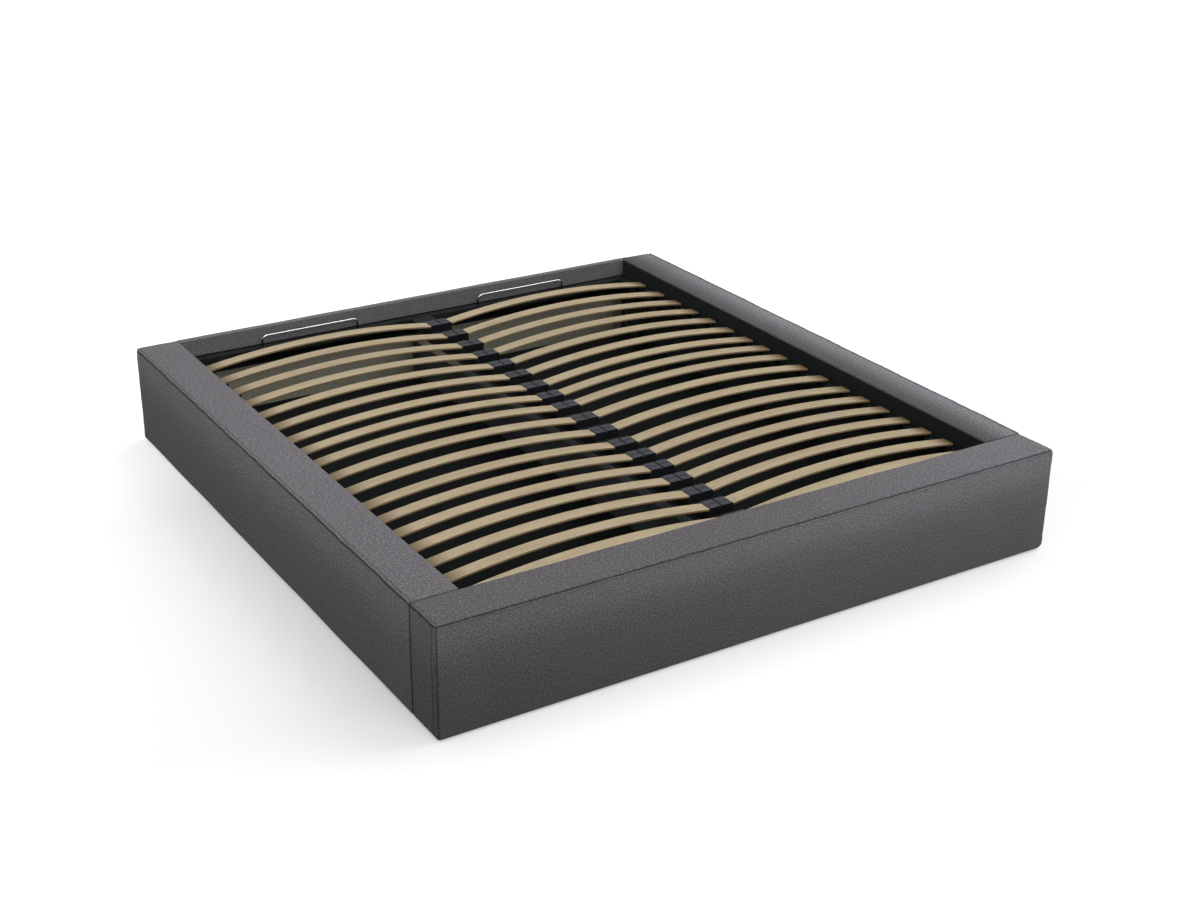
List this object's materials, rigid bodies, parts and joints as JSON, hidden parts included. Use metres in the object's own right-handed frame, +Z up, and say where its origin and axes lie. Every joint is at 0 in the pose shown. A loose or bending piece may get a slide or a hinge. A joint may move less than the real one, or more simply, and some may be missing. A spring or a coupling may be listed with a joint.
{
  "type": "storage bed",
  "caption": "Low upholstered double bed frame with thick side rails; its bowed slat frame hinges up at the head on two gas struts to open the storage below.",
  "frame": {"origin": "middle of the footprint, on the floor", "axes": "+X across the bed to its right seen from the foot, +Y to the head end, +Z up"},
  "size_m": [2.11, 2.225, 0.34],
  "materials": {
    "upholstery": "heathered charcoal weave, matt",
    "foam": "open-cell foam, hidden",
    "board": "raw particle board",
    "timber": "planed softwood",
    "lining": "black fleece",
    "floor_board": "black-faced hardboard",
    "frame_steel": "black powder coat",
    "zinc_steel": "zinc plated",
    "chrome_wire": "polished",
    "beech": "lacquered bent beech",
    "plastic": "moulded, matt"
  },
  "bodies": {
    "base": {"rail_core_left": "board", "rail_core_right": "board", "foot_core": "board", "head_panel": "board", "rail_foam_left": "foam", "rail_foam_right": "foam", "foot_foam": "foam", "rail_cover_left": "upholstery", "rail_cover_right": "upholstery", "foot_cover": "upholstery", "head_cover": "upholstery", "wall_linings": "lining", "floor_panel_left": "floor_board", "floor_panel_right": "floor_board", "floor_battens": "timber", "divider_board": "timber", "divider_rail": "floor_board", "floor_glides": "plastic", "corner_brackets": "zinc_steel", "bracket_screws": "zinc_steel", "lift_plate_left": "frame_steel", "lift_plate_right": "frame_steel", "pivot_pins": "zinc_steel", "pivot_washers": "zinc_steel", "rest_brackets": "zinc_steel", "rest_pads": "plastic"},
    "slat_frame": {"side_tube_left": "frame_steel", "side_tube_right": "frame_steel", "head_tube": "frame_steel", "foot_tube": "frame_steel", "centre_beam": "frame_steel", "tube_caps": "plastic", "pivot_bushes": "plastic", "strut_lugs": "frame_steel", "mattress_loops": "chrome_wire", "centre_holders": "plastic", "side_pads": "plastic", "slat_row_1": "beech", "slat_row_2": "beech", "slat_row_3": "beech", "slat_row_4": "beech", "slat_row_5": "beech", "slat_row_6": "beech", "slat_row_7": "beech", "slat_row_8": "beech", "slat_row_9": "beech", "slat_row_10": "beech", "slat_row_11": "beech", "slat_row_12": "beech", "slat_row_13": "beech", "slat_row_14": "beech", "slat_row_15": "beech", "slat_row_16": "beech", "slat_row_17": "beech", "slat_row_18": "beech"},
    "strut_rod_left": {"strut_rod_left": "chrome_wire"},
    "strut_cylinder_left": {"strut_cylinder_left": "frame_steel"},
    "strut_rod_right": {"strut_rod_right": "chrome_wire"},
    "strut_cylinder_right": {"strut_cylinder_right": "frame_steel"}
  },
  "joints": [
    {"name": "lift", "type": "hinge", "parent": "base", "child": "slat_frame", "pos_m": [0, 0.985, 0.261], "axis": [-1, 0, 0], "range_deg": [0, 40]},
    {"name": "strut_foot_left", "type": "hinge", "parent": "base", "child": "strut_rod_left", "pos_m": [-0.852, 0.91366, 0.065], "axis": [-1, 0, 0], "range_deg": [0, 20]},
    {"name": "strut_top_left", "type": "hinge", "parent": "slat_frame", "child": "strut_cylinder_left", "pos_m": [-0.852, 0.77845, 0.23197], "axis": [-1, 0, 0], "range_deg": [-20, 0]},
    {"name": "strut_foot_right", "type": "hinge", "parent": "base", "child": "strut_rod_right", "pos_m": [0.852, 0.91366, 0.065], "axis": [-1, 0, 0], "range_deg": [0, 20]},
    {"name": "strut_top_right", "type": "hinge", "parent": "slat_frame", "child": "strut_cylinder_right", "pos_m": [0.852, 0.77845, 0.23197], "axis": [-1, 0, 0], "range_deg": [-20, 0]}
  ],
  "couplings": [
    {"joint": "strut_foot_left", "follows": "lift", "ratio": 0.5},
    {"joint": "strut_top_left", "follows": "lift", "ratio": -0.5},
    {"joint": "strut_foot_right", "follows": "lift", "ratio": 0.5},
    {"joint": "strut_top_right", "follows": "lift", "ratio": -0.5}
  ]
}
